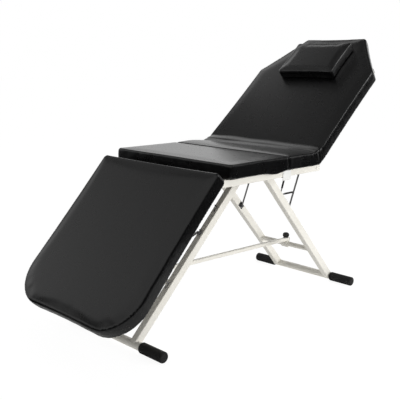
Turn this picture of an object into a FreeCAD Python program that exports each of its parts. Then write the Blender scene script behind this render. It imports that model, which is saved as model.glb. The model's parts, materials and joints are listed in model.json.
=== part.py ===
import FreeCAD, Part
import math
import os

# Three-section folding treatment table: seat, reclining back, hanging leg rest, folding leg frames.
# X runs from the leg rest to the head end, Y across, Z up. All sizes are millimetres.
# Pieces are drawn with x = 0 at the seat's front edge and both end sections lying flat,
# then the sections are swung to the pose of the photograph and everything is centred on x = 0.

# Upholstery
pad_width = 570.0
seat_height = 600.0
seat_pad_thickness = 50.0
end_pad_thickness = 46.0
front_pad_length = 300.0
rear_pad_length = 176.0
pad_gap = 2.0
back_length = 668.0
back_straight_length = 455.0
back_top_width = 294.0
leg_rest_length = 593.0
leg_rest_corner_radius = 130.0
pad_corner_radius = 14.0
bend_relief = 16.0
small_corner_radius = 4.0
shoulder_radius = 12.0
head_corner_radius = 10.0
pillow_corner_radius = 12.0
side_draw_in = 3.0
under_edge = 3.0
edge_roll = 8.0
crown_inset = 36.0
crown_rise = 1.0
board_thickness = 10.0
cover_rim = 8.0
pillow_length = 190.0
pillow_width = 270.0
pillow_thickness = 38.0
pillow_from_bend = 400.0
strip_thickness = 1.2
strip_width = 30.0
strip_spacing = 150.0
strip_inset = 15.0

# Pose of the photograph and limits that leave room
recline_angle = 40.0
leg_rest_angle = 47.0

# Steel frame
rail_tube = 25.0
rail_outer_y = 265.0
rail_rear_x = 517.0
rail_nose_clearance = 0.6
tube_wall = 1.5
tube_corner = 3.0
hinge_gap = 3.0
leg_rest_hinge_x = -16.0
back_hinge_x = 500.0
leg_rest_hinge_overlap = 7.0
back_frame_length = 545.0
back_upper_bar_along = 500.0
leg_rest_frame_length = 500.0
leg_rest_lower_bar_along = 480.0
leg_rest_upper_bar_along = 250.0
back_hinge_setback = 22.0
crossbar_tube = 20.0
section_tube_overhang = 15.0
seat_crossbar_places = (10.0, 208.0, 382.0, 445.0)

# Leg frames
pivot_height = 505.0
front_pivot_x = 250.0
rear_pivot_x = 365.0
front_foot_x = -241.0
rear_foot_x = 820.0
leg_width = 25.0
leg_depth = 30.0
front_leg_outer_y = 110.0
leg_side_gap = 4.0
leg_end_stub = 18.0
foot_bar_diameter = 28.0
foot_sleeve_diameter = 37.0
foot_axis_height = 18.0
foot_sleeve_length = 105.0
foot_sleeve_cap = 4.0
front_foot_half_length = 240.0
rear_foot_half_length = 255.0
leg_crossbar_diameter = 20.0
front_crossbar_height = 183.0
rear_crossbar_height = 160.0
bracket_thickness = 4.0

# Fasteners and fits
pin_diameter = 10.0
running_clearance = 0.05
bush_diameter = 14.0
head_diameter = 17.0
head_height = 6.0
moving_gap = 0.4

# Brace and its clamp knob
brace_tube = 15.0
brace_drop_clearance = 0.3
brace_overhang = 16.0
clamp_diameter = 30.0
clamp_length = 28.0
knob_diameter = 27.0
knob_height = 19.0
knob_stud_diameter = 8.0
knob_washer_thickness = 3.0

# Back prop rods
prop_rod_diameter = 7.0
prop_side_gap = 6.0
prop_pivot_along_back = 215.0
prop_pivot_below_axis = 16.0
prop_catch_along_leg = 240.0
prop_pin_diameter = 6.0
prop_end_beyond_catch = 6.0
prop_eye_diameter = 14.0
prop_ear_thickness = 3.0

# Leg-rest prop
leg_prop_wire = 8.0
leg_prop_inset = 4.0
leg_prop_ear_inset = 18.0
leg_prop_pivot_along = 440.0
leg_prop_pivot_drop = 14.0
upper_hook_along_leg = 150.0
middle_hook_along_leg = 257.0
lower_hook_along_leg = 473.0
hook_thickness = 4.0
hook_horn = 12.0

X = FreeCAD.Vector(1, 0, 0)
Y = FreeCAD.Vector(0, 1, 0)
Z = FreeCAD.Vector(0, 0, 1)
SIDES = {"right": -1, "left": 1}

# Derived levels and places
rail_top = seat_height - seat_pad_thickness
rail_bottom = rail_top - rail_tube
hinge_height = rail_top - rail_tube / 2
rail_inner_y = rail_outer_y - rail_tube
section_tube_outer_y = rail_inner_y - hinge_gap
section_tube_inner_y = section_tube_outer_y - rail_tube
bend_x = front_pad_length + pad_gap + rear_pad_length
back_start_x = back_hinge_x + back_hinge_setback
back_end_x = back_start_x + back_length
leg_rest_start_x = leg_rest_hinge_x + leg_rest_hinge_overlap
leg_rest_end_x = leg_rest_start_x - leg_rest_length
end_pad_top = rail_top + end_pad_thickness
front_leg_inner_y = front_leg_outer_y - leg_width
bracket_inner_y = front_leg_outer_y + leg_side_gap
bracket_outer_y = bracket_inner_y + bracket_thickness
rear_leg_inner_y = bracket_outer_y + leg_side_gap
rear_leg_outer_y = rear_leg_inner_y + leg_width
prop_plane_y = rear_leg_inner_y - prop_side_gap
leg_prop_arm_y = front_leg_inner_y + leg_prop_inset
leg_prop_ear_y = leg_prop_arm_y - leg_prop_ear_inset
leg_prop_half_width = front_leg_outer_y - leg_prop_inset


def at(x, y, z):
    return FreeCAD.Vector(x, y, z)


back_hinge = at(back_hinge_x, 0, hinge_height)
leg_rest_hinge = at(leg_rest_hinge_x, 0, hinge_height)
front_pivot = at(front_pivot_x, 0, pivot_height)
rear_pivot = at(rear_pivot_x, 0, pivot_height)
front_foot = at(front_foot_x, 0, foot_axis_height)
rear_foot = at(rear_foot_x, 0, foot_axis_height)


def swing(shape, centre, angle):
    """Turns a copy of a shape about the cross axis through a point."""
    turned = shape.copy()
    turned.rotate(centre, Y, angle)
    return turned


def recline(shape):
    return swing(shape, back_hinge, -recline_angle)


def hang(shape):
    return swing(shape, leg_rest_hinge, -leg_rest_angle)


def mirror_pair(shape):
    """One solid and its twin on the other side of the centre plane, as one group."""
    return Part.makeCompound([shape, shape.mirror(at(0, 0, 0), Y)])


def box(x_low, x_high, y_low, y_high, z_low, z_high):
    return Part.makeBox(x_high - x_low, y_high - y_low, z_high - z_low, at(x_low, y_low, z_low))


def rod(start, end, diameter):
    return Part.makeCylinder(diameter / 2, (end - start).Length, start, end - start)


def cross_rod(x, z, y_low, y_high, diameter):
    return rod(at(x, y_low, z), at(x, y_high, z), diameter)


def unit(vector):
    return vector / vector.Length


def along(start, end, distance):
    """The point at a distance from start on the line towards end."""
    return start + unit(end - start) * distance


def pitch_of(start, end):
    """The turn about Y that carries +X onto the line from start to end."""
    return math.degrees(math.atan2(start.z - end.z, end.x - start.x))


# Tubes

def round_long_edges(shape, radius, direction):
    edges = [edge for edge in shape.Edges if abs(edge.tangentAt(edge.FirstParameter).dot(direction)) > 0.99]
    return shape.makeFillet(radius, edges)


def square_tube_x(x_low, x_high, y_low, y_high, z_low, z_high, wall=tube_wall):
    outer = round_long_edges(box(x_low, x_high, y_low, y_high, z_low, z_high), tube_corner, X)
    inner = box(x_low, x_high, y_low + wall, y_high - wall, z_low + wall, z_high - wall)
    return outer.cut(inner)


def square_tube_y(y_low, y_high, x_low, x_high, z_low, z_high, wall=tube_wall):
    outer = round_long_edges(box(x_low, x_high, y_low, y_high, z_low, z_high), tube_corner, Y)
    inner = box(x_low + wall, x_high - wall, y_low, y_high, z_low + wall, z_high - wall)
    return outer.cut(inner)


def tube_plug(x_face, outward, y_middle, z_middle, size):
    """Moulded plug: a tapered stem inside the tube and a thin domed cap on its end."""
    bore = size - 2 * tube_wall
    stem_length = 12.0
    cap_thickness = 2.5
    stem_low = min(x_face, x_face - outward * stem_length)
    stem = box(stem_low, stem_low + stem_length, y_middle - bore / 2, y_middle + bore / 2,
               z_middle - bore / 2, z_middle + bore / 2)
    cap_low = min(x_face, x_face + outward * cap_thickness)
    cap = box(cap_low, cap_low + cap_thickness, y_middle - size / 2, y_middle + size / 2,
              z_middle - size / 2, z_middle + size / 2)
    cap = round_long_edges(cap, tube_corner, X)
    return stem.fuse(cap).removeSplitter()


def hex_prism(centre, height, across_corners, direction):
    """A hexagonal bolt head or nut that stands on a point along Y."""
    corners = []
    for index in range(7):
        turn = math.radians(60 * index)
        corners.append(centre + at(math.cos(turn), 0, math.sin(turn)) * (across_corners / 2))
    return Part.Face(Part.makePolygon(corners)).extrude(Y * (height * direction))


# Upholstered pads

def inset_outline(points, inset):
    """Moves every side of a convex outline inwards by the inset."""
    count = len(points)
    sides = []
    for index in range(count):
        start, end = points[index], points[(index + 1) % count]
        direction = unit(end - start)
        inward = Z.cross(direction)
        sides.append((start + inward * inset, direction))
    moved = []
    for index in range(count):
        base, direction = sides[index - 1]
        other_base, other_direction = sides[index]
        gap = other_base - base
        cross = direction.x * other_direction.y - direction.y * other_direction.x
        reach = (gap.x * other_direction.y - gap.y * other_direction.x) / cross
        moved.append(base + direction * reach)
    return moved


def rounded_wire(points, radii, level, draw_in):
    """Closed wire of drawn-in sides and corner arcs at one level."""
    count = len(points)
    corners = []
    for index in range(count):
        point = points[index]
        before = unit(points[index - 1] - point)
        after = unit(points[(index + 1) % count] - point)
        half = math.acos(max(-1.0, min(1.0, before.dot(after)))) / 2
        setback = radii[index] / math.tan(half)
        middle = point + unit(before + after) * (radii[index] / math.sin(half) - radii[index])
        corners.append((point + before * setback, middle, point + after * setback))
    edges = []
    for index in range(count):
        first, middle, last = [at(p.x, p.y, level) for p in corners[index]]
        following = at(corners[(index + 1) % count][0].x, corners[(index + 1) % count][0].y, level)
        edges.append(Part.Arc(first, middle, last).toShape())
        inward = Z.cross(unit(following - last))
        waist = (last + following) / 2 + inward * draw_in
        edges.append(Part.Arc(last, waist, following).toShape())
    return Part.Wire(edges)


def padded_solid(points, radii, bottom, thickness):
    """Cushion: under edge, full sides that are drawn in, tightly rolled top edge and a crowned top."""
    top = bottom + thickness
    rim = top - crown_rise
    levels = [
        (bottom, under_edge),
        (bottom + under_edge, under_edge / 4),
        (bottom + thickness / 2, 0.0),
        (rim - edge_roll, edge_roll / 10),
        (rim - edge_roll * 0.3, edge_roll * 0.3),
        (rim, edge_roll),
        (top, crown_inset),
    ]
    wires = []
    for level, inset in levels:
        moved = inset_outline(points, inset)
        tightened = [max(radius - inset, small_corner_radius / 2) for radius in radii]
        wires.append(rounded_wire(moved, tightened, level, side_draw_in))
    return Part.makeLoft(wires, True, True)


def board_solid(points, radii, bottom):
    moved = inset_outline(points, cover_rim)
    tightened = [max(radius - cover_rim, small_corner_radius / 2) for radius in radii]
    return Part.Face(rounded_wire(moved, tightened, bottom, side_draw_in)).extrude(Z * board_thickness)


def rectangle(x_low, x_high, width):
    half = width / 2
    return [at(x_low, -half, 0), at(x_high, -half, 0), at(x_high, half, 0), at(x_low, half, 0)]


def bend_wedge(x_foot, x_head, thickness):
    """Wedge that leaves an open V above the bend between two pads."""
    margin = 0.2
    profile = Part.makePolygon([
        at(x_foot, -pad_width, rail_top - margin),
        at(x_head, -pad_width, rail_top + thickness + margin),
        at(x_foot, -pad_width, rail_top + thickness + margin),
        at(x_foot, -pad_width, rail_top - margin),
    ])
    return Part.Face(profile).extrude(Y * (2 * pad_width))


def seat_pads():
    front = rectangle(0, front_pad_length, pad_width)
    rear = rectangle(front_pad_length + pad_gap, bend_x, pad_width)
    radii = [pad_corner_radius, small_corner_radius, small_corner_radius, pad_corner_radius]
    small = [small_corner_radius] * 4
    seat_board = board_solid(front, radii, rail_top)
    rear_board = board_solid(rear, small, rail_top)
    seat_cushion = padded_solid(front, radii, rail_top, seat_pad_thickness).cut(seat_board)
    rear_cushion = padded_solid(rear, small, rail_top, seat_pad_thickness).cut(rear_board)
    rear_cushion = rear_cushion.cut(bend_wedge(bend_x + 0.01, bend_x - bend_relief, seat_pad_thickness))
    return {"seat_board": seat_board, "seat_cushion": seat_cushion,
            "rear_seat_board": rear_board, "rear_seat_cushion": rear_cushion}


def back_pad():
    half = pad_width / 2
    top_half = back_top_width / 2
    shoulder_x = back_start_x + back_straight_length
    outline = [at(back_start_x, -half, 0), at(shoulder_x, -half, 0), at(back_end_x, -top_half, 0),
               at(back_end_x, top_half, 0), at(shoulder_x, half, 0), at(back_start_x, half, 0)]
    radii = [small_corner_radius, shoulder_radius, head_corner_radius,
             head_corner_radius, shoulder_radius, small_corner_radius]
    board = board_solid(outline, radii, rail_top)
    cushion = padded_solid(outline, radii, rail_top, end_pad_thickness).cut(board)
    cushion = cushion.cut(bend_wedge(back_start_x - 0.01, back_start_x + bend_relief, end_pad_thickness))
    return {"back_board": recline(board), "back_cushion": recline(cushion)}


def leg_rest_pad():
    outline = rectangle(leg_rest_end_x, leg_rest_start_x, pad_width)
    radii = [leg_rest_corner_radius, pad_corner_radius, pad_corner_radius, leg_rest_corner_radius]
    board = board_solid(outline, radii, rail_top)
    cushion = padded_solid(outline, radii, rail_top, end_pad_thickness).cut(board)
    return {"leg_rest_board": hang(board), "leg_rest_cushion": hang(cushion)}


def head_pillow():
    """Loose head pillow, held by strips of hook and loop tape."""
    low = back_start_x + pillow_from_bend
    high = low + pillow_length
    loop_top = end_pad_top + strip_thickness
    hook_low = loop_top + moving_gap
    outline = rectangle(low, high, pillow_width)
    pillow = padded_solid(outline, [pillow_corner_radius] * 4, hook_low + strip_thickness, pillow_thickness)
    loops = []
    hooks = []
    for side in (-1, 1):
        middle = side * strip_spacing / 2
        y_low, y_high = middle - strip_width / 2, middle + strip_width / 2
        loops.append(box(low + strip_inset, high - strip_inset, y_low, y_high, end_pad_top, loop_top))
        hooks.append(box(low + 2 * strip_inset, high - 2 * strip_inset, y_low, y_high,
                         hook_low, hook_low + strip_thickness))
    return {"pillow": recline(pillow), "pillow_loop_strips": recline(Part.makeCompound(loops)),
            "pillow_hook_strips": recline(Part.makeCompound(hooks))}


# Seat frame

def drilled(shape, x, z, diameter):
    """A shape with a hole right across it."""
    return shape.cut(cross_rod(x, z, -pad_width, pad_width, diameter))


def seat_frame():
    """Rails with round front noses that let the leg rest swing, their crossbars, plugs and straps."""
    parts = {}
    nose_radius = rail_tube / 2 - rail_nose_clearance
    nose_waste = box(leg_rest_hinge_x - rail_tube, leg_rest_hinge_x, -pad_width, pad_width,
                     rail_bottom - rail_tube, rail_top + rail_tube)
    nose = cross_rod(leg_rest_hinge_x, hinge_height, -pad_width, pad_width, 2 * nose_radius)
    nose_waste = nose_waste.cut(nose)
    for name, side in SIDES.items():
        y_low, y_high = sorted((side * rail_inner_y, side * rail_outer_y))
        rail = square_tube_x(leg_rest_hinge_x - nose_radius, rail_rear_x, y_low, y_high, rail_bottom, rail_top)
        rail = rail.cut(nose_waste)
        rail = drilled(rail, leg_rest_hinge_x, hinge_height, pin_diameter)
        parts["seat_rail_" + name] = drilled(rail, back_hinge_x, hinge_height, pin_diameter)
    bars = []
    for x_low in seat_crossbar_places:
        bars.append(square_tube_y(-rail_inner_y, rail_inner_y, x_low, x_low + rail_tube, rail_bottom, rail_top))
    parts["seat_crossbars"] = Part.makeCompound(bars)
    plugs = []
    for side in (-1, 1):
        y_middle = side * (rail_outer_y - rail_tube / 2)
        plugs.append(tube_plug(rail_rear_x, 1, y_middle, hinge_height, rail_tube))
    parts["rail_end_plugs"] = Part.makeCompound(plugs)
    parts["rail_straps"] = mirror_pair(rail_strap())
    return parts


def rail_strap():
    """White bracket under the joint of the two seat pads: an outside plate and a foot under the rail."""
    strap_length = 46.0
    strap_thickness = 2.0
    strap_lead = 8.0
    strap_drop = 12.0
    x_low = front_pad_length - strap_lead
    x_high = x_low + strap_length
    plate = box(x_low, x_high, rail_outer_y, rail_outer_y + strap_thickness, rail_bottom - strap_drop, rail_top)
    foot = box(x_low, x_high, rail_inner_y, rail_outer_y, rail_bottom - strap_thickness, rail_bottom)
    return plate.fuse(foot).removeSplitter()


def leg_brackets():
    """Two hanging plates that carry the leg pivots, rounded round each pivot."""
    reach = 20.0
    top_overhang = 42.0
    window_diameter = 22.0
    y_low = bracket_inner_y
    top_front = at(front_pivot_x - top_overhang, y_low, rail_bottom)
    top_rear = at(rear_pivot_x + top_overhang, y_low, rail_bottom)
    slope = math.radians(40)
    rear_side = at(rear_pivot_x + reach * math.cos(slope), y_low, pivot_height - reach * math.sin(slope))
    rear_low = at(rear_pivot_x, y_low, pivot_height - reach)
    front_low = at(front_pivot_x, y_low, pivot_height - reach)
    front_side = at(front_pivot_x - reach * math.cos(slope), y_low, pivot_height - reach * math.sin(slope))
    bend = math.radians(65)
    rear_mid = at(rear_pivot_x + reach * math.cos(bend), y_low, pivot_height - reach * math.sin(bend))
    front_mid = at(front_pivot_x - reach * math.cos(bend), y_low, pivot_height - reach * math.sin(bend))
    outline = Part.Wire([
        Part.makeLine(top_front, top_rear),
        Part.makeLine(top_rear, rear_side),
        Part.Arc(rear_side, rear_mid, rear_low).toShape(),
        Part.makeLine(rear_low, front_low),
        Part.Arc(front_low, front_mid, front_side).toShape(),
        Part.makeLine(front_side, top_front),
    ])
    plate = Part.Face(outline).extrude(Y * bracket_thickness)
    for x in (front_pivot_x, rear_pivot_x):
        plate = drilled(plate, x, pivot_height, pin_diameter)
    window = cross_rod((front_pivot_x + rear_pivot_x) / 2, pivot_height, 0, pad_width, window_diameter)
    plate = plate.cut(window)
    return {"leg_bracket_left": plate, "leg_bracket_right": plate.mirror(at(0, 0, 0), Y)}


def leg_pivot_bolts():
    """Bolts of the four leg pivots with their heads, nuts and spacer washers."""
    front_head_y = front_leg_inner_y - moving_gap
    front = cross_rod(front_pivot_x, pivot_height, front_head_y, bracket_outer_y + head_height, pin_diameter)
    front_head = hex_prism(at(front_pivot_x, front_head_y, pivot_height), head_height, head_diameter, -1)
    front_nut = hex_prism(at(front_pivot_x, bracket_outer_y, pivot_height), head_height, head_diameter, 1)
    front = front.fuse([front_head, front_nut])
    rear_head_y = rear_leg_outer_y + moving_gap
    rear = cross_rod(rear_pivot_x, pivot_height, bracket_inner_y, rear_head_y, pin_diameter)
    rear = rear.fuse(hex_prism(at(rear_pivot_x, rear_head_y, pivot_height), head_height, head_diameter, 1))
    front_spacer = leg_spacer(front_pivot, front_leg_outer_y + moving_gap, bracket_inner_y)
    rear_spacer = leg_spacer(rear_pivot, bracket_outer_y, rear_leg_inner_y - moving_gap)
    return Part.makeCompound([mirror_pair(front), mirror_pair(rear), front_spacer, rear_spacer])


def section_hinge_pins(x):
    """Pins through the rail into the end section's tube, with a domed head outside and a nut inside."""
    nut_y = section_tube_inner_y - moving_gap
    pin = cross_rod(x, hinge_height, nut_y, rail_outer_y, pin_diameter)
    dome_height = 3.0
    dome_radius = (head_diameter ** 2 / 4 + dome_height ** 2) / (2 * dome_height)
    head = Part.makeSphere(dome_radius, at(x, rail_outer_y + dome_height - dome_radius, hinge_height))
    head = head.common(cross_rod(x, hinge_height, rail_outer_y, rail_outer_y + head_diameter, head_diameter))
    nut = hex_prism(at(x, nut_y, hinge_height), head_height, head_diameter, -1)
    return mirror_pair(pin.fuse(head).fuse(nut))


def leg_spacer(pivot, y_low, y_high):
    """Washer that fills the space between a leg and its bracket."""
    ring = cross_rod(pivot.x, pivot.z, y_low, y_high, head_diameter)
    return mirror_pair(ring.cut(cross_rod(pivot.x, pivot.z, y_low, y_high, pin_diameter)))


def hinge_hardware():
    pins = [section_hinge_pins(back_hinge_x), section_hinge_pins(leg_rest_hinge_x)]
    return {"leg_pivot_bolts": leg_pivot_bolts(), "section_hinge_pins": Part.makeCompound(pins)}


# Back frame and leg-rest frame

def section_frame(prefix, hinge_x, far_x, crossbar_xs, pose):
    """Two long tubes, their crossbars and plugs, drawn flat and then swung to the pose."""
    outward = 1 if far_x > hinge_x else -1
    near_x = hinge_x - outward * section_tube_overhang
    x_low, x_high = sorted((near_x, far_x))
    parts = {}
    plugs = []
    for name, side in SIDES.items():
        y_low, y_high = sorted((side * section_tube_inner_y, side * section_tube_outer_y))
        tube = square_tube_x(x_low, x_high, y_low, y_high, rail_bottom, rail_top)
        tube = drilled(tube, hinge_x, hinge_height, pin_diameter + 2 * running_clearance)
        parts[prefix + "_tube_" + name] = pose(tube)
        plugs.append(tube_plug(far_x, outward, (y_low + y_high) / 2, hinge_height, rail_tube))
    for name, x_middle in crossbar_xs.items():
        bar = square_tube_y(-section_tube_inner_y, section_tube_inner_y, x_middle - crossbar_tube / 2,
                            x_middle + crossbar_tube / 2, rail_top - crossbar_tube, rail_top)
        parts[prefix + "_crossbar_" + name] = pose(bar)
    parts[prefix + "_tube_plugs"] = pose(Part.makeCompound(plugs))
    return parts


prop_pivot_flat = at(back_hinge_x + prop_pivot_along_back, 0, hinge_height - prop_pivot_below_axis)
leg_prop_pivot_flat = at(leg_rest_start_x - leg_prop_pivot_along, 0, rail_top - leg_prop_pivot_drop)


def turned_point(point, centre, angle):
    marker = Part.Vertex(point)
    return swing(marker, centre, angle).Point


prop_pivot = turned_point(prop_pivot_flat, back_hinge, -recline_angle)
leg_prop_pivot = turned_point(leg_prop_pivot_flat, leg_rest_hinge, -leg_rest_angle)
prop_catch = along(rear_pivot, rear_foot, prop_catch_along_leg)


def hinge_ear(x, z, y_low, thickness, reach, z_top):
    """Small plate ear: straight at its root and round at its hole."""
    straight = box(x - reach, x + reach, y_low, y_low + thickness, z, z_top)
    return straight.fuse(cross_rod(x, z, y_low, y_low + thickness, 2 * reach)).removeSplitter()


def back_prop_ears():
    half_slot = prop_rod_diameter / 2 + moving_gap
    reach = 8.0
    ears = []
    for y_low in (prop_plane_y - half_slot - prop_ear_thickness, prop_plane_y + half_slot):
        ear = hinge_ear(prop_pivot_flat.x, prop_pivot_flat.z, y_low, prop_ear_thickness, reach,
                        rail_top - crossbar_tube)
        ears.append(drilled(ear, prop_pivot_flat.x, prop_pivot_flat.z, prop_pin_diameter))
    pair = [ears[0], ears[1], ears[0].mirror(at(0, 0, 0), Y), ears[1].mirror(at(0, 0, 0), Y)]
    outer = half_slot + prop_ear_thickness
    pin = cross_rod(prop_pivot_flat.x, prop_pivot_flat.z, prop_plane_y - outer, prop_plane_y + outer,
                    prop_pin_diameter)
    return {"back_prop_ears": recline(Part.makeCompound(pair)), "back_prop_pins": recline(mirror_pair(pin))}


def back_prop():
    """Two steel rods from the back frame to catches on the rear legs, with a bent release lever."""
    low_end = along(prop_pivot, prop_catch, (prop_catch - prop_pivot).Length + prop_end_beyond_catch)
    eye_half = prop_rod_diameter / 2 - 0.5
    eye = cross_rod(prop_pivot.x, prop_pivot.z, prop_plane_y - eye_half, prop_plane_y + eye_half,
                    prop_eye_diameter)
    aside = Y * prop_plane_y
    shank = rod(prop_pivot + aside, low_end + aside, prop_rod_diameter)
    shape = eye.fuse(shank).removeSplitter()
    shape = drilled(shape, prop_pivot.x, prop_pivot.z, prop_pin_diameter + 2 * running_clearance)
    parts = {"back_prop_rods": mirror_pair(shape)}
    parts.update(release_lever())
    return parts


def release_lever():
    """Bent wire lever on the right-hand rod: forwards from the rod, then up behind the leg, in two sleeves."""
    wire = 5.0
    sleeve = 7.4
    root_along_rod = 95.0
    forward = 86.0
    rise = 56.0
    lean = math.radians(20)
    bend = 14.0
    root_sleeve = (8.0, 58.0)
    grip_start = 26.0
    grip_cover = 3.0
    root = along(prop_catch, prop_pivot, root_along_rod)
    root = at(root.x, -prop_plane_y, root.z)
    corner = root - X * forward
    tip = corner + at(math.sin(lean), 0, math.cos(lean)) * rise
    before = corner + X * bend
    after = along(corner, tip, bend)
    turn = unit(unit(before - corner) + unit(after - corner))
    middle = corner + turn * (bend * 0.35)
    path = Part.Wire([Part.makeLine(root, before), Part.Arc(before, middle, after).toShape(),
                      Part.makeLine(after, tip)])
    ring = Part.Wire(Part.makeCircle(wire / 2, root, X))
    lever = path.makePipeShell([ring], True, True)
    aside = Y * prop_plane_y
    lever = lever.cut(rod(prop_catch - aside, prop_pivot - aside, prop_rod_diameter))
    tube = rod(root - X * root_sleeve[0], root - X * root_sleeve[1], sleeve).cut(lever)
    grip = rod(along(corner, tip, grip_start), along(corner, tip, rise + grip_cover), sleeve).cut(lever)
    return {"release_lever": lever, "lever_sleeves": Part.makeCompound([tube, grip])}


def back_frame():
    bars = {"lower": prop_pivot_flat.x, "upper": back_hinge_x + back_upper_bar_along}
    parts = section_frame("back", back_hinge_x, back_hinge_x + back_frame_length, bars, recline)
    parts.update(back_prop_ears())
    return parts


def leg_prop_eyes():
    """Two ears under the leg rest that carry the wire prop."""
    reach = 9.0
    thickness = 4.0
    pivot = leg_prop_pivot_flat
    ears = []
    for side in (-1, 1):
        y_low = side * leg_prop_ear_y - thickness / 2
        ear = hinge_ear(pivot.x, pivot.z, y_low, thickness, reach, rail_top)
        ears.append(drilled(ear, pivot.x, pivot.z, leg_prop_wire + 2 * running_clearance))
    return hang(Part.makeCompound(ears))


def leg_rest_frame():
    bars = {"upper": leg_rest_hinge_x - leg_rest_upper_bar_along,
            "lower": leg_rest_hinge_x - leg_rest_lower_bar_along}
    parts = section_frame("leg_rest", leg_rest_hinge_x, leg_rest_hinge_x - leg_rest_frame_length, bars, hang)
    parts["leg_prop_eyes"] = leg_prop_eyes()
    return parts


# Leg frames

front_leg_pitch = pitch_of(front_pivot, front_foot)
rear_leg_pitch = pitch_of(rear_pivot, rear_foot)


def leg_tube(pivot, foot, y_low, pitch):
    """Leg tube from a stub above its pivot down to the foot bar, shaped to the bar's round."""
    length = (foot - pivot).Length
    tube = square_tube_x(-leg_end_stub, length, y_low, y_low + leg_width, -leg_depth / 2, leg_depth / 2)
    tube.rotate(at(0, 0, 0), Y, pitch)
    tube.translate(pivot)
    tube = drilled(tube, pivot.x, pivot.z, bush_diameter)
    return tube.cut(cross_rod(foot.x, foot.z, -pad_width, pad_width, foot_bar_diameter))


def leg_cap(pivot, y_low, pitch):
    bore_y = leg_width - 2 * tube_wall
    bore_z = leg_depth - 2 * tube_wall
    stem_length = 6.0
    cap_thickness = 2.0
    stem = box(-leg_end_stub, stem_length - leg_end_stub, y_low + tube_wall, y_low + tube_wall + bore_y,
               -bore_z / 2, bore_z / 2)
    cap = box(-leg_end_stub - cap_thickness, -leg_end_stub, y_low, y_low + leg_width,
              -leg_depth / 2, leg_depth / 2)
    shape = stem.fuse(round_long_edges(cap, tube_corner, X)).removeSplitter()
    shape.rotate(at(0, 0, 0), Y, pitch)
    shape.translate(pivot)
    return shape


def leg_bush(pivot, y_low):
    bush = cross_rod(pivot.x, pivot.z, y_low, y_low + leg_width, bush_diameter)
    return bush.cut(cross_rod(pivot.x, pivot.z, y_low, y_low + leg_width, pin_diameter + 2 * running_clearance))


def foot_sleeve(foot, half_length):
    """Rubber sleeve with a chamfered mouth, a rounded closed end and a worn flat on the floor."""
    radius = foot_sleeve_diameter / 2
    round_end = 6.0
    mouth_step = 1.5
    mouth_slope = 3.0
    inner = foot_bar_diameter / 2
    start = half_length - foot_sleeve_length
    bar_end = half_length - foot_sleeve_cap
    knee = round_end * (1 - math.sqrt(0.5))
    profile = Part.Wire([
        Part.makeLine(at(inner, start, 0), at(radius - mouth_step, start, 0)),
        Part.makeLine(at(radius - mouth_step, start, 0), at(radius, start + mouth_slope, 0)),
        Part.makeLine(at(radius, start + mouth_slope, 0), at(radius, half_length - round_end, 0)),
        Part.Arc(at(radius, half_length - round_end, 0), at(radius - knee, half_length - knee, 0),
                 at(radius - round_end, half_length, 0)).toShape(),
        Part.makeLine(at(radius - round_end, half_length, 0), at(0, half_length, 0)),
        Part.makeLine(at(0, half_length, 0), at(0, bar_end, 0)),
        Part.makeLine(at(0, bar_end, 0), at(inner, bar_end, 0)),
        Part.makeLine(at(inner, bar_end, 0), at(inner, start, 0)),
    ])
    sleeve = Part.Face(profile).revolve(at(0, 0, 0), Y, 360)
    sleeve.translate(foot)
    above_floor = box(foot.x - 2 * radius, foot.x + 2 * radius, 0, pad_width, 0, 4 * radius)
    return sleeve.common(above_floor)


def foot_bar(foot, half_length):
    reach = half_length - foot_sleeve_cap
    bar = cross_rod(foot.x, foot.z, -reach, reach, foot_bar_diameter)
    return bar.cut(cross_rod(foot.x, foot.z, -reach, reach, foot_bar_diameter - 2 * tube_wall))


def leg_frame(prefix, pivot, foot, outer_y, pitch, crossbar, half_length):
    inner_y = outer_y - leg_width
    parts = {}
    caps = []
    bushes = []
    for name, side in SIDES.items():
        y_low = min(side * inner_y, side * outer_y)
        tube = leg_tube(pivot, foot, y_low, pitch)
        parts[prefix + "_leg_" + name] = tube
        caps.append(leg_cap(pivot, y_low, pitch))
        bushes.append(leg_bush(pivot, y_low))
    parts[prefix + "_crossbar"] = cross_rod(crossbar.x, crossbar.z, -inner_y, inner_y, leg_crossbar_diameter)
    parts[prefix + "_foot_bar"] = foot_bar(foot, half_length)
    parts[prefix + "_feet"] = mirror_pair(foot_sleeve(foot, half_length))
    parts[prefix + "_leg_caps"] = Part.makeCompound(caps)
    parts[prefix + "_leg_bushes"] = Part.makeCompound(bushes)
    return parts


def height_on_leg(pivot, foot, height):
    share = (pivot.z - height) / (pivot.z - foot.z)
    return pivot + (foot - pivot) * share


front_crossbar = height_on_leg(front_pivot, front_foot, front_crossbar_height)
rear_crossbar = height_on_leg(rear_pivot, rear_foot, rear_crossbar_height)


def hook_seat(distance):
    """Where the prop's wire rests on the front face of the front legs."""
    down = unit(front_foot - front_pivot)
    out = at(down.z, 0, -down.x)
    return along(front_pivot, front_foot, distance) + out * (leg_depth / 2 + leg_prop_wire / 2 + moving_gap)


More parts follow.
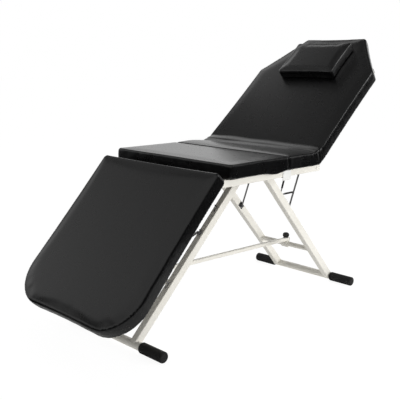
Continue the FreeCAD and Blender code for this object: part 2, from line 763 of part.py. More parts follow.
def leg_rest_hooks():
    """Hook plates on the front legs: a half-round seat with a horn on its upper side."""
    seat_radius = leg_prop_wire / 2 + moving_gap
    base = 14.0
    floor_skin = 0.05
    horn_lean = 1.5
    horn_width = 3.0
    face = leg_depth / 2
    solids = []
    for distance in (upper_hook_along_leg, middle_hook_along_leg, lower_hook_along_leg):
        lip = distance - seat_radius
        horn_low = lip - horn_lean
        horn_high = horn_low - horn_width
        profile = Part.Wire([
            Part.makeLine(at(distance - base, 0, -face), at(distance + base, 0, -face)),
            Part.makeLine(at(distance + base, 0, -face), at(distance + seat_radius, 0, -face - seat_radius)),
            Part.Arc(at(distance + seat_radius, 0, -face - seat_radius), at(distance, 0, -face - floor_skin),
                     at(lip, 0, -face - seat_radius)).toShape(),
            Part.makeLine(at(lip, 0, -face - seat_radius), at(horn_low, 0, -face - hook_horn)),
            Part.makeLine(at(horn_low, 0, -face - hook_horn), at(horn_high, 0, -face - hook_horn)),
            Part.makeLine(at(horn_high, 0, -face - hook_horn), at(distance - base, 0, -face)),
        ])
        plate = Part.Face(profile).extrude(Y * hook_thickness)
        plate.translate(Y * (front_leg_inner_y + leg_width / 2 - hook_thickness / 2))
        plate.rotate(at(0, 0, 0), Y, front_leg_pitch)
        plate.translate(front_pivot)
        solids.append(plate)
        solids.append(plate.mirror(at(0, 0, 0), Y))
    return Part.makeCompound(solids)


def front_leg_frame():
    parts = leg_frame("front", front_pivot, front_foot, front_leg_outer_y, front_leg_pitch,
                      front_crossbar, front_foot_half_length)
    parts["leg_rest_hooks"] = leg_rest_hooks()
    return parts


def prop_catches():
    """Catches on the rear legs: a thin base plate on the leg and a round peg that the rod rests on."""
    base_thickness = 2.0
    base_half_length = 14.0
    base_half_height = 10.0
    peg_diameter = 6.0
    peg_clearance = 1.2
    base_y = rear_leg_inner_y - base_thickness
    base = box(-base_half_length, base_half_length, base_y, rear_leg_inner_y,
               -base_half_height, base_half_height)
    base.rotate(at(0, 0, 0), Y, rear_leg_pitch)
    base.translate(prop_catch)
    rod_line = unit(prop_pivot - prop_catch)
    offset = prop_rod_diameter / 2 + peg_clearance + peg_diameter / 2
    peg_place = prop_catch + at(rod_line.z, 0, -rod_line.x) * offset
    peg = cross_rod(peg_place.x, peg_place.z, prop_plane_y - prop_rod_diameter / 2, base_y, peg_diameter)
    return mirror_pair(base.fuse(peg))


def rear_leg_frame():
    parts = leg_frame("rear", rear_pivot, rear_foot, rear_leg_outer_y, rear_leg_pitch,
                      rear_crossbar, rear_foot_half_length)
    parts["prop_catches"] = prop_catches()
    return parts


def leg_prop():
    """Bent wire prop: cross wire in the ears, two arms and outward ends that drop into the hooks."""
    seat = hook_seat(middle_hook_along_leg)
    axle = cross_rod(leg_prop_pivot.x, leg_prop_pivot.z, -leg_prop_arm_y, leg_prop_arm_y, leg_prop_wire)
    pieces = []
    for side in (-1, 1):
        aside = Y * (side * leg_prop_arm_y)
        pieces.append(rod(leg_prop_pivot + aside, seat + aside, leg_prop_wire))
        for corner in (leg_prop_pivot + aside, seat + aside):
            pieces.append(Part.makeSphere(leg_prop_wire / 2, corner))
        pieces.append(rod(seat + aside, seat + Y * (side * leg_prop_half_width), leg_prop_wire))
    return {"leg_rest_prop": axle.fuse(pieces).removeSplitter()}


# Brace and knob

brace_rise = leg_crossbar_diameter / 2 + brace_tube / 2 + brace_drop_clearance
brace_rear = rear_crossbar + Z * brace_rise
brace_front = front_crossbar + Z * brace_rise
brace_tilt = math.degrees(math.atan2(brace_front.z - brace_rear.z, brace_rear.x - brace_front.x))


def in_brace_frame(shape):
    """From brace coordinates, with +X towards the front end, to its place under the seat."""
    placed = shape.copy()
    placed.rotate(at(0, 0, 0), Z, 180)
    placed.rotate(at(0, 0, 0), Y, brace_tilt)
    placed.translate(brace_rear)
    return placed


def brace():
    """Square brace tube with a clamp round the rear crossbar and a saddle over the front one."""
    half = brace_tube / 2
    span = (brace_front - brace_rear).Length
    tube = square_tube_x(-brace_overhang, span + brace_overhang, -half, half, -half, half)
    stud_hole = Part.makeCylinder(knob_stud_diameter / 2 + running_clearance, 4 * half, at(0, 0, -2 * half))
    tube = in_brace_frame(tube.cut(stud_hole))
    tube_space = in_brace_frame(box(-clamp_diameter, span, -clamp_length, clamp_length, -half, clamp_diameter))
    length = clamp_length / 2
    clamp = cross_rod(rear_crossbar.x, rear_crossbar.z, -length, length, clamp_diameter)
    clamp = clamp.cut(cross_rod(rear_crossbar.x, rear_crossbar.z, -length, length,
                                leg_crossbar_diameter + 2 * running_clearance))
    clamp = clamp.cut(tube_space).cut(in_brace_frame(stud_hole))
    saddle_radius = leg_crossbar_diameter / 2 + brace_drop_clearance
    saddle_half_length = 14.0
    saddle_lift = 4.0
    saddle = box(-saddle_half_length, saddle_half_length, -half, half, saddle_lift - brace_rise, -half)
    saddle.translate(at(span, 0, 0))
    saddle = in_brace_frame(saddle)
    saddle = saddle.cut(cross_rod(front_crossbar.x, front_crossbar.z, -half, half, 2 * saddle_radius))
    return {"brace_tube": tube, "brace_clamp": clamp, "brace_saddle": saddle}


def brace_plugs():
    half = brace_tube / 2
    span = (brace_front - brace_rear).Length
    bore = half - tube_wall
    stem_length = 6.0
    cap_thickness = 2.0
    cap_corner = 2.0
    plugs = []
    for face, outward in ((-brace_overhang, -1), (span + brace_overhang, 1)):
        stem_low, stem_high = sorted((face, face - outward * stem_length))
        cap_low, cap_high = sorted((face, face + outward * cap_thickness))
        stem = box(stem_low, stem_high, -bore, bore, -bore, bore)
        cap = box(cap_low, cap_high, -half, half, -half, half)
        plugs.append(in_brace_frame(stem.fuse(round_long_edges(cap, cap_corner, X)).removeSplitter()))
    return {"brace_plugs": Part.makeCompound(plugs)}


def clamp_knob():
    """Domed knob with finger flutes, its threaded stud and the washer under it."""
    half = brace_tube / 2
    seat = half + knob_washer_thickness
    radius = knob_diameter / 2
    flute_count = 8
    flute_radius = 3.0
    flute_height = knob_height * 0.7
    stud_engagement = 10.0
    stud_tip_clearance = 1.0
    crown_flat = 2.0
    neck = radius * 0.62
    shoulder = seat + knob_height * 0.62
    crown = seat + knob_height
    skirt = seat + knob_height * 0.2
    haunch = at(radius * 0.74, 0, crown - knob_height * 0.11)
    profile = Part.Wire([
        Part.makeLine(at(0, 0, seat), at(neck, 0, seat)),
        Part.makeLine(at(neck, 0, seat), at(radius, 0, skirt)),
        Part.makeLine(at(radius, 0, skirt), at(radius, 0, shoulder)),
        Part.Arc(at(radius, 0, shoulder), haunch, at(crown_flat, 0, crown)).toShape(),
        Part.makeLine(at(crown_flat, 0, crown), at(0, 0, crown)),
        Part.makeLine(at(0, 0, crown), at(0, 0, seat)),
    ])
    knob = Part.Face(profile).revolve(at(0, 0, 0), Z, 360)
    flutes = []
    for index in range(flute_count):
        turn = 2 * math.pi * (index + 0.5) / flute_count
        reach = radius + flute_radius * 0.55
        flute_foot = at(reach * math.cos(turn), reach * math.sin(turn), seat)
        flutes.append(Part.makeCylinder(flute_radius, flute_height, flute_foot))
    knob = knob.cut(flutes)
    stud_low = leg_crossbar_diameter / 2 + stud_tip_clearance - brace_rise
    stud = Part.makeCylinder(knob_stud_diameter / 2, seat + stud_engagement - stud_low, at(0, 0, stud_low))
    knob = knob.cut(stud)
    washer = Part.makeCylinder(radius * 0.85, knob_washer_thickness - moving_gap, at(0, 0, half))
    washer = washer.cut(Part.makeCylinder(knob_stud_diameter / 2 + running_clearance, seat, at(0, 0, half)))
    pieces = {"knob": knob, "knob_stud": stud, "knob_washer": washer}
    return {name: in_brace_frame(piece) for name, piece in pieces.items()}


def all_parts():
    parts = {}
    for group in (seat_pads(), back_pad(), leg_rest_pad(), head_pillow(), seat_frame(), leg_brackets(),
                  hinge_hardware(), back_frame(), leg_rest_frame(), back_prop(), front_leg_frame(),
                  rear_leg_frame(), leg_prop(), brace(), brace_plugs(), clamp_knob()):
        parts.update(group)
    return parts


def main():
    os.makedirs("parts", exist_ok=True)
    parts = all_parts()
    boxes = [shape.optimalBoundingBox(False, False) for shape in parts.values()]
    low = min(bound.XMin for bound in boxes)
    high = max(bound.XMax for bound in boxes)
    shift = at(-(low + high) / 2, 0, 0)
    for name, shape in parts.items():
        moved = shape.copy()
        moved.translate(shift)
        if not moved.isValid():
            print("not valid:", name)
        moved.exportStep("parts/" + name + ".step")
    places = {"back hinge": back_hinge, "leg rest hinge": leg_rest_hinge, "front pivot": front_pivot,
              "rear pivot": rear_pivot, "rear crossbar": rear_crossbar, "back prop pivot": prop_pivot,
              "leg prop pivot": leg_prop_pivot, "knob": brace_rear, "front foot": front_foot,
              "rear foot": rear_foot}
    for name, point in places.items():
        print(name, [round(value, 4) for value in point + shift])
    print("leg angles", round(front_leg_pitch, 4), round(rear_leg_pitch, 4), "brace", round(brace_tilt, 4))
    print("nodes", len(parts), "box x", round(low, 2), round(high, 2))


main()
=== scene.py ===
# %% [markdown]
# # A folding treatment table in black vinyl on a cream steel frame
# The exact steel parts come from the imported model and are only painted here. The padded parts are made
# in this lesson: each starts as a copy of its plain block, is inflated like foam under a tight cover,
# has its edges pulled tight again, and then gets its folds, small waves and staples.

# %% Load the frame
import json
import math
import bpy
from mathutils import Matrix, Vector, noise


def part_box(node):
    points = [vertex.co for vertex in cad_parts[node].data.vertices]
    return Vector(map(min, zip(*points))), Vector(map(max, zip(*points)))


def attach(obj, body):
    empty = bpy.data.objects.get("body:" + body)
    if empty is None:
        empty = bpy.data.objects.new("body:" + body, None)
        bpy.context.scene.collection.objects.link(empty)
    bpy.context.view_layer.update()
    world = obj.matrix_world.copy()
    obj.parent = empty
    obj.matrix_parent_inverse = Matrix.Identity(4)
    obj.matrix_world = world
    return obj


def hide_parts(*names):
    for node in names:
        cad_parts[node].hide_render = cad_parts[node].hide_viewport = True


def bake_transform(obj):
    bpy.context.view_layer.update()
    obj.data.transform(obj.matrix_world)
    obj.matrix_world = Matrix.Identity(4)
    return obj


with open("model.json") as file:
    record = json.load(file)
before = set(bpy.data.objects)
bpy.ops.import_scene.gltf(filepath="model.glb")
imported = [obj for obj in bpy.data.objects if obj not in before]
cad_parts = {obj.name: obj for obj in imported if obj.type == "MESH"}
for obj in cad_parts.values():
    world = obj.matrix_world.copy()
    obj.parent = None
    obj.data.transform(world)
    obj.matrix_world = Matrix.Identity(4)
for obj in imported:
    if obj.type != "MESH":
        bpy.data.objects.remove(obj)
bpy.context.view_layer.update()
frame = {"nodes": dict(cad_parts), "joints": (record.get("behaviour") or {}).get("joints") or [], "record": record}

joints = {joint["name"]: joint for joint in frame["joints"]}

# %% [markdown]
# ## Camera
# The viewpoint was worked out from corner points of the pads: a camera at waist height, off the leg end
# and to the right, with a slightly long lens. A camera's own axes are right, up and backwards, so its
# turn is simply those three directions side by side.

# %% Place the camera
IMAGE_PIXELS = 400
focal_pixels = 646.34
camera_place = Vector((-1.7810, -1.5985, 0.8997))
yaw = math.radians(-45.974)
pitch = math.radians(-11.706)
roll = math.radians(0.803)
forward = Vector((-math.sin(yaw) * math.cos(pitch), math.cos(yaw) * math.cos(pitch), math.sin(pitch)))
level_right = Vector((math.cos(yaw), math.sin(yaw), 0))
level_up = level_right.cross(forward)
image_right = level_right * math.cos(roll) + level_up * math.sin(roll)
image_up = level_up * math.cos(roll) - level_right * math.sin(roll)

bpy.ops.object.select_all(action="DESELECT")
bpy.ops.object.camera_add(location=camera_place)
camera = bpy.context.object
camera.rotation_euler = Matrix((image_right, image_up, -forward)).transposed().to_euler()
camera.data.sensor_width = 36
camera.data.lens = camera.data.sensor_width * focal_pixels / IMAGE_PIXELS
bpy.context.scene.camera = camera
bpy.context.scene.view_settings.view_transform = "Standard"
print("lens", round(camera.data.lens, 2))

# %% [markdown]
# ## Studio
# The table stands on a white floor in a white room with a dim ceiling. The camera sees the room plain
# white. Reflections see it white near the horizon and darker overhead, most of all at the head end, so
# black vinyl shines only where it is looked at along its surface. As a light the room is dim at the foot
# end, so the faces of the tubes that look that way are darker than their sides.


# %% Build the room
def ramp(nodes, low, high, at_low, at_high):
    """A node that turns one range of values into another."""
    node = nodes.new("ShaderNodeMapRange")
    node.inputs["From Min"].default_value = low
    node.inputs["From Max"].default_value = high
    node.inputs["To Min"].default_value = at_low
    node.inputs["To Max"].default_value = at_high
    return node


HORIZON_ENDS = 0.24
CEILING_STARTS = 0.56
CEILING_AT_FOOT = 0.70
CEILING_AT_HEAD = 0.11
LIGHT_AT_FOOT = 0.10
LIGHT_AT_HEAD = 0.7
CEILING_SPAN = (-0.5, 0.1)
LIGHT_SPAN = (-0.6, 0.6)
world = bpy.data.worlds.new("studio")
bpy.context.scene.world = world
world.use_nodes = True
world_nodes = world.node_tree.nodes
world_links = world.node_tree.links
world_nodes.clear()
room_light = world_nodes.new("ShaderNodeBackground")
room_seen = world_nodes.new("ShaderNodeBackground")
room_mirrored = world_nodes.new("ShaderNodeBackground")
for background in (room_light, room_seen, room_mirrored):
    background.inputs["Color"].default_value = (1, 1, 1, 1)
room_seen.inputs["Strength"].default_value = 1.0

direction = world_nodes.new("ShaderNodeTexCoord")
heading = world_nodes.new("ShaderNodeSeparateXYZ")
world_links.new(direction.outputs["Generated"], heading.inputs["Vector"])
overhead = ramp(world_nodes, *CEILING_SPAN, CEILING_AT_FOOT, CEILING_AT_HEAD)
world_links.new(heading.outputs["X"], overhead.inputs["Value"])
ceiling = ramp(world_nodes, HORIZON_ENDS, CEILING_STARTS, 1.0, CEILING_AT_HEAD)
ceiling.interpolation_type = "SMOOTHSTEP"
world_links.new(heading.outputs["Z"], ceiling.inputs["Value"])
world_links.new(overhead.outputs["Result"], ceiling.inputs["To Max"])
world_links.new(ceiling.outputs["Result"], room_mirrored.inputs["Strength"])
daylight = ramp(world_nodes, *LIGHT_SPAN, LIGHT_AT_FOOT, LIGHT_AT_HEAD)
world_links.new(heading.outputs["X"], daylight.inputs["Value"])
world_links.new(daylight.outputs["Result"], room_light.inputs["Strength"])
print("room strengths ready")

# %% [markdown]
# ## What each ray sees
# Cycles can tell what kind of ray has reached the room. Camera rays get the plain white, reflections and
# rays through clear things get the room with the ceiling, and all others get the room as a light.

# %% Choose by ray
rays = world_nodes.new("ShaderNodeLightPath")
glossy_or_clear = world_nodes.new("ShaderNodeMath")
glossy_or_clear.operation = "MAXIMUM"
world_links.new(rays.outputs["Is Glossy Ray"], glossy_or_clear.inputs[0])
world_links.new(rays.outputs["Is Transmission Ray"], glossy_or_clear.inputs[1])
mirrored = world_nodes.new("ShaderNodeMixShader")
world_links.new(glossy_or_clear.outputs[0], mirrored.inputs["Fac"])
world_links.new(room_light.outputs[0], mirrored.inputs[1])
world_links.new(room_mirrored.outputs[0], mirrored.inputs[2])
room = world_nodes.new("ShaderNodeMixShader")
world_links.new(rays.outputs["Is Camera Ray"], room.inputs["Fac"])
world_links.new(mirrored.outputs[0], room.inputs[1])
world_links.new(room_seen.outputs[0], room.inputs[2])
world_out = world_nodes.new("ShaderNodeOutputWorld")
world_links.new(room.outputs[0], world_out.inputs["Surface"])
print("room ready")

# %% [markdown]
# ## Lamps
# Two large soft lamps model the tubes. The key lamp stands low at the right, so that the table doesn't
# shade its own legs, and it isn't seen in reflections, which would grey the black sides. A third lamp,
# high at the right, is seen only in reflections and draws the bright line along the near edge of the back.


# %% Light the table
def soft_lamp(name, place, target, size, power):
    """A square soft box that points at a target."""
    bpy.ops.object.light_add(type="AREA", location=place)
    lamp = bpy.context.object
    lamp.name = name
    lamp.data.shape = "SQUARE"
    lamp.data.size = size
    lamp.data.energy = power
    aim = Vector(target) - Vector(place)
    lamp.rotation_euler = aim.to_track_quat("-Z", "Y").to_euler()
    return lamp


key_lamp = soft_lamp("key_lamp", place=(1.5, -3.0, 1.0), target=(0.1, 0, 0.3), size=1.8, power=62)
key_lamp.visible_glossy = False
soft_lamp("rim_lamp", place=(2.0, 2.4, 2.8), target=(0, 0, 0.6), size=2.0, power=12)
edge_lamp = soft_lamp("edge_lamp", place=(1.05, -1.54, 2.59), target=(0.5, -0.28, 0.8), size=0.9, power=13)
edge_lamp.visible_diffuse = False
print("lamps ready")

# %% [markdown]
# ## Floor
# The floor is white, and most of what the camera sees of it is its own glow, so it stays white but keeps
# a soft shadow. To all other diffuse rays it glows less, which lights the tubes from below.

# %% Lay the floor
FLOOR_SIZE = 60
FLOOR_WHITE = (0.94, 0.94, 0.94, 1)
GLOW = 1.12
GLOW_SEEN = 0.84
GLOW_AS_LIGHT = 0.6
bpy.ops.mesh.primitive_plane_add(size=FLOOR_SIZE)
floor = bpy.context.object
floor.name = "studio_floor"
floor_finish = bpy.data.materials.new("floor_white")
floor_finish.use_nodes = True
floor_nodes = floor_finish.node_tree.nodes
floor_links = floor_finish.node_tree.links
floor_shader = floor_nodes["Principled BSDF"]
floor_shader.inputs["Base Color"].default_value = FLOOR_WHITE
floor_shader.inputs["Roughness"].default_value = 1.0
floor_shader.inputs["Specular IOR Level"].default_value = 0.0
floor_glow = floor_nodes.new("ShaderNodeEmission")
floor_glow.inputs["Strength"].default_value = GLOW
floor_rays = floor_nodes.new("ShaderNodeLightPath")
seen_share = floor_nodes.new("ShaderNodeMath")
seen_share.operation = "MULTIPLY"
seen_share.inputs[1].default_value = GLOW_SEEN
floor_links.new(floor_rays.outputs["Is Camera Ray"], seen_share.inputs[0])
glow_share = floor_nodes.new("ShaderNodeMath")
glow_share.operation = "MULTIPLY_ADD"
glow_share.inputs[1].default_value = GLOW_AS_LIGHT
floor_links.new(floor_rays.outputs["Is Diffuse Ray"], glow_share.inputs[0])
floor_links.new(seen_share.outputs[0], glow_share.inputs[2])
floor_mix = floor_nodes.new("ShaderNodeMixShader")
floor_links.new(glow_share.outputs[0], floor_mix.inputs["Fac"])
floor_links.new(floor_shader.outputs[0], floor_mix.inputs[1])
floor_links.new(floor_glow.outputs[0], floor_mix.inputs[2])
floor_links.new(floor_mix.outputs[0], floor_nodes["Material Output"].inputs["Surface"])
floor.data.materials.append(floor_finish)
print("floor ready")

# %% [markdown]
# ## Black cards
# Two upright cards and two on the floor are seen only in reflections. They keep the side faces of the
# pads black, as a photographer would do it.

# %% Set up the cards
CARD_BLACK = (0.01, 0.01, 0.01, 1)
card_finish = bpy.data.materials.new("card_black")
card_finish.use_nodes = True
card_shader = card_finish.node_tree.nodes["Principled BSDF"]
card_shader.inputs["Base Color"].default_value = CARD_BLACK
card_shader.inputs["Specular IOR Level"].default_value = 0.0


def black_card(name, corner, side, other_side):
    """A card with one corner and two sides given, that only reflections see."""
    bpy.ops.mesh.primitive_plane_add(size=1)
    card = bpy.context.object
    card.name = name
    for vertex in card.data.vertices:
        share = vertex.co + Vector((0.5, 0.5, 0))
        vertex.co = Vector(corner) + Vector(side) * share.x + Vector(other_side) * share.y
    card.data.materials.append(card_finish)
    card.visible_camera = False
    card.visible_diffuse = False
    card.visible_shadow = False


CARD_CORNER = (-1.9, -1.5, 0)
CARD_LIFT = 0.002
black_card("right_card", corner=CARD_CORNER, side=(5, 0, 0), other_side=(0, 0, 1.25))
black_card("front_card", corner=CARD_CORNER, side=(0, 4, 0), other_side=(0, 0, 1.2))
black_card("right_floor_card", corner=(0.3, -1.5, CARD_LIFT), side=(2.4, 0, 0), other_side=(0, 0.9, 0))
black_card("left_floor_card", corner=(-1.9, 0.35, CARD_LIFT), side=(1.1, 0, 0), other_side=(0, 1.9, 0))
print("cards ready")

# %% [markdown]
# ## Finishes
# Every finish is a small node tree on the object's own coordinates, in metres: a slow cloud of colour,
# a patchy roughness and a fine bump. One helper wires that chain, and each finish gives its own scales.

# %% A helper for finishes
CLOUD_DETAIL = 5.0
CLOUD_DARK_BELOW = 0.3
CLOUD_LIGHT_ABOVE = 0.7
PATCHES_PER_CLOUD = 5
GRAIN_DETAIL = 3.0


def finish(name, dark, light, rough, grain_scale, grain_depth, cloud_scale=9.0, metal=0.0, specular=0.5):
    """A shader whose colour, roughness and surface grain all come from noise at real scales."""
    material = bpy.data.materials.new(name)
    material.use_nodes = True
    nodes = material.node_tree.nodes
    links = material.node_tree.links
    shader = nodes["Principled BSDF"]
    shader.inputs["Metallic"].default_value = metal
    shader.inputs["Specular IOR Level"].default_value = specular
    place = nodes.new("ShaderNodeTexCoord")
    cloud = nodes.new("ShaderNodeTexNoise")
    cloud.inputs["Scale"].default_value = cloud_scale
    cloud.inputs["Detail"].default_value = CLOUD_DETAIL
    links.new(place.outputs["Object"], cloud.inputs["Vector"])
    colour = nodes.new("ShaderNodeValToRGB")
    colour.color_ramp.elements[0].position = CLOUD_DARK_BELOW
    colour.color_ramp.elements[1].position = CLOUD_LIGHT_ABOVE
    colour.color_ramp.elements[0].color = (*dark, 1)
    colour.color_ramp.elements[1].color = (*light, 1)
    links.new(cloud.outputs["Fac"], colour.inputs["Fac"])
    links.new(colour.outputs["Color"], shader.inputs["Base Color"])
    patches = nodes.new("ShaderNodeTexNoise")
    patches.inputs["Scale"].default_value = cloud_scale * PATCHES_PER_CLOUD
    links.new(place.outputs["Object"], patches.inputs["Vector"])
    roughness = ramp(nodes, 0, 1, *rough)
    links.new(patches.outputs["Fac"], roughness.inputs["Value"])
    links.new(roughness.outputs["Result"], shader.inputs["Roughness"])
    grain = nodes.new("ShaderNodeTexNoise")
    grain.name = "grain"
    grain.inputs["Scale"].default_value = grain_scale
    grain.inputs["Detail"].default_value = GRAIN_DETAIL
    links.new(place.outputs["Object"], grain.inputs["Vector"])
    bump = nodes.new("ShaderNodeBump")
    bump.name = "bump"
    bump.inputs["Strength"].default_value = 1.0
    bump.inputs["Distance"].default_value = grain_depth
    links.new(grain.outputs["Fac"], bump.inputs["Height"])
    links.new(bump.outputs["Normal"], shader.inputs["Normal"])
    return material


print("finish helper ready")

# %% [markdown]
# ## Black vinyl
# Upholstery vinyl has a pebbled leather grain of one to two millimetres. Cells of a Voronoi pattern are
# such pebbles, and noise on top breaks up their even size.


# %% Make the vinyl
def pebbled(material, cell_scale, cell_depth):
    """Adds leather pebbles under the fine grain of a finish."""
    nodes = material.node_tree.nodes
    links = material.node_tree.links
    place = nodes.new("ShaderNodeTexCoord")
    cells = nodes.new("ShaderNodeTexVoronoi")
    cells.feature = "SMOOTH_F1"
    cells.inputs["Scale"].default_value = cell_scale
    links.new(place.outputs["Object"], cells.inputs["Vector"])
    pebbles = nodes.new("ShaderNodeBump")
    pebbles.invert = True
    pebbles.inputs["Strength"].default_value = 1.0
    pebbles.inputs["Distance"].default_value = cell_depth
    links.new(cells.outputs["Distance"], pebbles.inputs["Height"])
    links.new(pebbles.outputs["Normal"], nodes["bump"].inputs["Normal"])
    return material


finishes = {}
smooth_vinyl = finish("black_vinyl", dark=(0.0035, 0.0035, 0.0038), light=(0.0055, 0.0055, 0.0058),
                      rough=(0.265, 0.29), grain_scale=900, grain_depth=0.000006)
finishes["black_vinyl"] = pebbled(smooth_vinyl, cell_scale=620, cell_depth=0.000014)
print("finish", finishes["black_vinyl"].name)

# %% [markdown]
# ## Frame, rubber, plastic and steel
# The frame is powder coated, so it is satin with a faint orange peel. Rubber is dull and sooty,
# moulded plastic a little smoother, and the zinc parts are metal with a cloudy spangle. The boards under
# the pads are plywood stained black.

# %% Make the other finishes
finishes["cream_frame"] = finish(
    "cream_frame", dark=(0.81, 0.785, 0.715), light=(0.86, 0.838, 0.775), rough=(0.38, 0.46),
    grain_scale=420, grain_depth=0.00004)
finishes["black_rubber"] = finish(
    "black_rubber", dark=(0.010, 0.010, 0.010), light=(0.020, 0.020, 0.020), rough=(0.62, 0.78),
    grain_scale=700, grain_depth=0.00012, cloud_scale=30, specular=0.35)
finishes["black_plastic"] = finish(
    "black_plastic", dark=(0.012, 0.011, 0.010), light=(0.018, 0.017, 0.016), rough=(0.38, 0.50),
    grain_scale=1200, grain_depth=0.00006, cloud_scale=40)
finishes["bare_steel"] = finish(
    "bare_steel", dark=(0.32, 0.32, 0.33), light=(0.46, 0.46, 0.48), rough=(0.26, 0.40),
    grain_scale=800, grain_depth=0.00003, cloud_scale=120, metal=1.0)
finishes["white_plastic"] = finish(
    "white_plastic", dark=(0.80, 0.80, 0.78), light=(0.86, 0.86, 0.84), rough=(0.40, 0.52),
    grain_scale=900, grain_depth=0.00005, cloud_scale=30)
finishes["plywood"] = finish(
    "plywood", dark=(0.012, 0.011, 0.010), light=(0.030, 0.028, 0.025), rough=(0.62, 0.80),
    grain_scale=160, grain_depth=0.0002, cloud_scale=14, specular=0.3)
finishes["grip_tape"] = finish(
    "grip_tape", dark=(0.008, 0.008, 0.008), light=(0.022, 0.022, 0.022), rough=(0.85, 0.95),
    grain_scale=1500, grain_depth=0.0006, cloud_scale=300, specular=0.2)

for subpart in frame["record"]["subparts"]:
    node = frame["nodes"][subpart["node"]]
    for slot in node.material_slots:
        slot.material = finishes[subpart["material_slot"]]
print("finishes", sorted(finishes))

# %% [markdown]
# ## How a pad is made
# A pad is foam on a board under a tight vinyl cover. Modelling it by hand would need many loops, so a
# copy of the plain block is remeshed into small even squares, its underside is held as the staples hold
# the cover, and a cloth simulation blows the rest up a little. Remeshing softens the edges, so last the
# sides and rims are pulled onto the plain block again, and faint waves are pressed into the sides.
#
# The first helpers copy a block and cut its skin into squares. A copied mesh is loose triangles, so points
# closer than SAME_POINT are merged.

# %% Copy a block and remesh it
SAME_POINT = 0.00002


def bare_copy(name, *node_names):
    """A new object with copies of the nodes' meshes, merged into closed shells."""
    bpy.ops.object.select_all(action="DESELECT")
    copies = []
    for node_name in node_names:
        copy = bpy.data.objects.new(name, frame["nodes"][node_name].data.copy())
        bpy.context.scene.collection.objects.link(copy)
        copy.select_set(True)
        copies.append(copy)
    bpy.context.view_layer.objects.active = copies[0]
    if len(copies) > 1:
        bpy.ops.object.join()
    pad = bpy.context.object
    bpy.ops.object.mode_set(mode="EDIT")
    bpy.ops.mesh.select_all(action="SELECT")
    bpy.ops.mesh.remove_doubles(threshold=SAME_POINT)
    bpy.ops.mesh.customdata_custom_splitnormals_clear()
    bpy.ops.object.mode_set(mode="OBJECT")
    return pad


def activate(piece):
    """Selects one piece alone, because operators act on all that is selected."""
    bpy.ops.object.select_all(action="DESELECT")
    piece.select_set(True)
    bpy.context.view_layer.objects.active = piece


def even_squares(pad, size):
    """Cuts the skin of a pad into small even squares and gives it the vinyl."""
    activate(pad)
    pad.data.remesh_voxel_size = size
    bpy.ops.object.voxel_remesh()
    pad.data.materials.clear()
    pad.data.materials.append(finishes["black_vinyl"])


print("copy and remesh ready")

# %% [markdown]
# ## Swelling
# The cloth simulation runs for a few frames without gravity. Its pressure would blow a pad up like a
# balloon, so afterwards no point may be further from its start than foam would push it.

# %% Swell a cover
SWELL_PRESSURE = 2
SWELL_FRAMES = 20
CLOTH_SHRINK = 0.008
CLOTH_QUALITY = 4


def swell(pad, held, most):
    """Inflates the cover where it isn't held, and keeps every point within a distance of its start."""
    activate(pad)
    start = [vertex.co.copy() for vertex in pad.data.vertices]
    staples = pad.vertex_groups.new(name="held")
    staples.add([index for index, place in enumerate(start) if held(place)], 1.0, "REPLACE")
    modifier = pad.modifiers.new("swell", "CLOTH")
    cloth = modifier.settings
    cloth.use_pressure = True
    cloth.uniform_pressure_force = SWELL_PRESSURE
    cloth.shrink_min = CLOTH_SHRINK
    cloth.quality = CLOTH_QUALITY
    cloth.vertex_group_mass = "held"
    cloth.effector_weights.gravity = 0
    modifier.point_cache.frame_start = 1
    modifier.point_cache.frame_end = SWELL_FRAMES
    for step in range(1, SWELL_FRAMES + 1):
        bpy.context.scene.frame_set(step)
    bpy.ops.object.modifier_apply(modifier="swell")
    bpy.context.scene.frame_set(1)
    for vertex, place in zip(pad.data.vertices, start):
        moved = vertex.co - place
        if moved.length > most:
            vertex.co = place + moved.normalized() * most
    pad.vertex_groups.clear()


print("swelling ready")

# %% [markdown]
# ## Edges and waves
# After the swelling the skin is smoothed and made finer. A point that faces up like the top of the pad
# stays where it is, and the further a point faces away from that, the more it is pulled onto the block.

# %% Tighten the edges
STRAIGHT_UP = 0.992
RIM_GAIN = 12
IRON_STRENGTH = 0.5
FIRST_IRONING = 4
LAST_IRONING = 3
LONG_RIPPLE = 22
SHORT_RIPPLE = 55
SHORT_SHARE = 0.5
INWARD_SHARE = 0.4
SIDE_FACING = 0.5


def ironed(pad, passes):
    """Takes the stair steps of the remesh out of a pad."""
    activate(pad)
    modifier = pad.modifiers.new("ironed", "SMOOTH")
    modifier.factor = IRON_STRENGTH
    modifier.iterations = passes
    bpy.ops.object.modifier_apply(modifier="ironed")


def finer(pad):
    """Splits every square into four and shades the skin smooth."""
    activate(pad)
    modifier = pad.modifiers.new("finer", "SUBSURF")
    modifier.levels = 1
    modifier.render_levels = 1
    bpy.ops.object.modifier_apply(modifier="finer")
    bpy.ops.object.shade_smooth()


def limited(share):
    """Keeps a share between none and all."""
    return max(0.0, min(1.0, share))


def tight_edges(pad, block, top_of):
    """Pulls all but the top face onto the plain block, as a cover lies tight round foam edges."""
    activate(pad)
    rim = pad.vertex_groups.new(name="rim")
    for vertex in pad.data.vertices:
        facing = vertex.normal.dot(top_of(vertex.co))
        rim.add([vertex.index], limited((STRAIGHT_UP - facing) * RIM_GAIN), "REPLACE")
    modifier = pad.modifiers.new("tight", "SHRINKWRAP")
    modifier.target = block
    modifier.wrap_method = "NEAREST_SURFACEPOINT"
    modifier.vertex_group = "rim"
    bpy.ops.object.modifier_apply(modifier="tight")
    pad.vertex_groups.clear()
    bpy.data.objects.remove(block)
    ironed(pad, LAST_IRONING)


